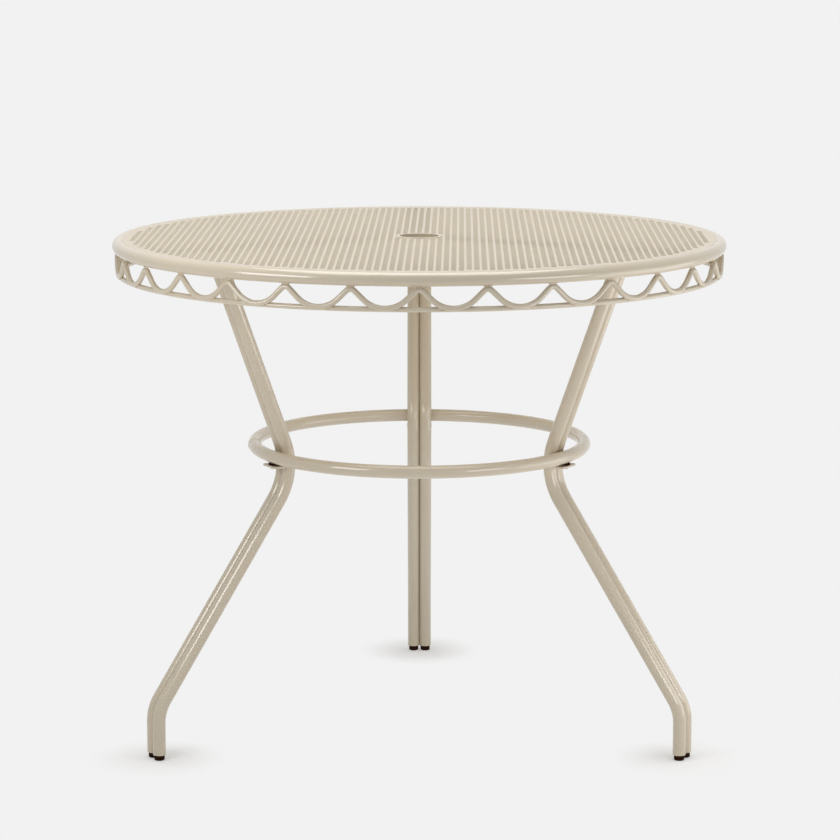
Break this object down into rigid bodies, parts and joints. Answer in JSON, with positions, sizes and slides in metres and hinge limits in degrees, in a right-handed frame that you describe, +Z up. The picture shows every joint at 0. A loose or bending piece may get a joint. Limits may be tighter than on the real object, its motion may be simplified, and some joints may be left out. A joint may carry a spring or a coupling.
{
  "type": "outdoor dining table",
  "caption": "Round metal patio dining table: perforated top in a tube rim, umbrella hole, scalloped wire apron, three twin-tube legs drawn in to a tube hoop at the waist.",
  "frame": {"origin": "on the floor, under the centre of the top", "axes": "+Z up; the front is towards -Y, between the left and right legs; the third leg is at +Y"},
  "size_m": [0.914, 0.914, 0.744],
  "materials": {
    "cream_powder_coat": "warm cream semi-gloss powder coat on steel",
    "dark_plastic": "dark brown, nearly black moulded plastic",
    "zinc_steel": "bright zinc plate"
  },
  "bodies": {
    "root": {"apron_hoop": "cream_powder_coat", "apron_wave": "cream_powder_coat", "base_ring": "cream_powder_coat", "left_foot_plug_1": "dark_plastic", "left_foot_plug_2": "dark_plastic", "left_leg_plate": "cream_powder_coat", "left_leg_tube_1": "cream_powder_coat", "left_leg_tube_2": "cream_powder_coat", "left_plate_screw_inner": "zinc_steel", "left_plate_screw_outer": "zinc_steel", "left_rail_boss_inner": "zinc_steel", "left_rail_boss_outer": "zinc_steel", "left_ring_rivet_nut": "zinc_steel", "left_ring_screw": "zinc_steel", "left_ring_spacer": "dark_plastic", "left_ring_tab": "cream_powder_coat", "left_top_rail": "cream_powder_coat", "rear_foot_plug_1": "dark_plastic", "rear_foot_plug_2": "dark_plastic", "rear_leg_plate": "cream_powder_coat", "rear_leg_tube_1": "cream_powder_coat", "rear_leg_tube_2": "cream_powder_coat", "rear_plate_screw_inner": "zinc_steel", "rear_plate_screw_outer": "zinc_steel", "rear_rail_boss_inner": "zinc_steel", "rear_rail_boss_outer": "zinc_steel", "rear_ring_rivet_nut": "zinc_steel", "rear_ring_screw": "zinc_steel", "rear_ring_spacer": "dark_plastic", "rear_ring_tab": "cream_powder_coat", "rear_top_rail": "cream_powder_coat", "right_foot_plug_1": "dark_plastic", "right_foot_plug_2": "dark_plastic", "right_leg_plate": "cream_powder_coat", "right_leg_tube_1": "cream_powder_coat", "right_leg_tube_2": "cream_powder_coat", "right_plate_screw_inner": "zinc_steel", "right_plate_screw_outer": "zinc_steel", "right_rail_boss_inner": "zinc_steel", "right_rail_boss_outer": "zinc_steel", "right_ring_rivet_nut": "zinc_steel", "right_ring_screw": "zinc_steel", "right_ring_spacer": "dark_plastic", "right_ring_tab": "cream_powder_coat", "right_top_rail": "cream_powder_coat", "rim_tube": "cream_powder_coat", "top_sheet": "cream_powder_coat", "umbrella_collar": "cream_powder_coat"}
  },
  "joints": []
}
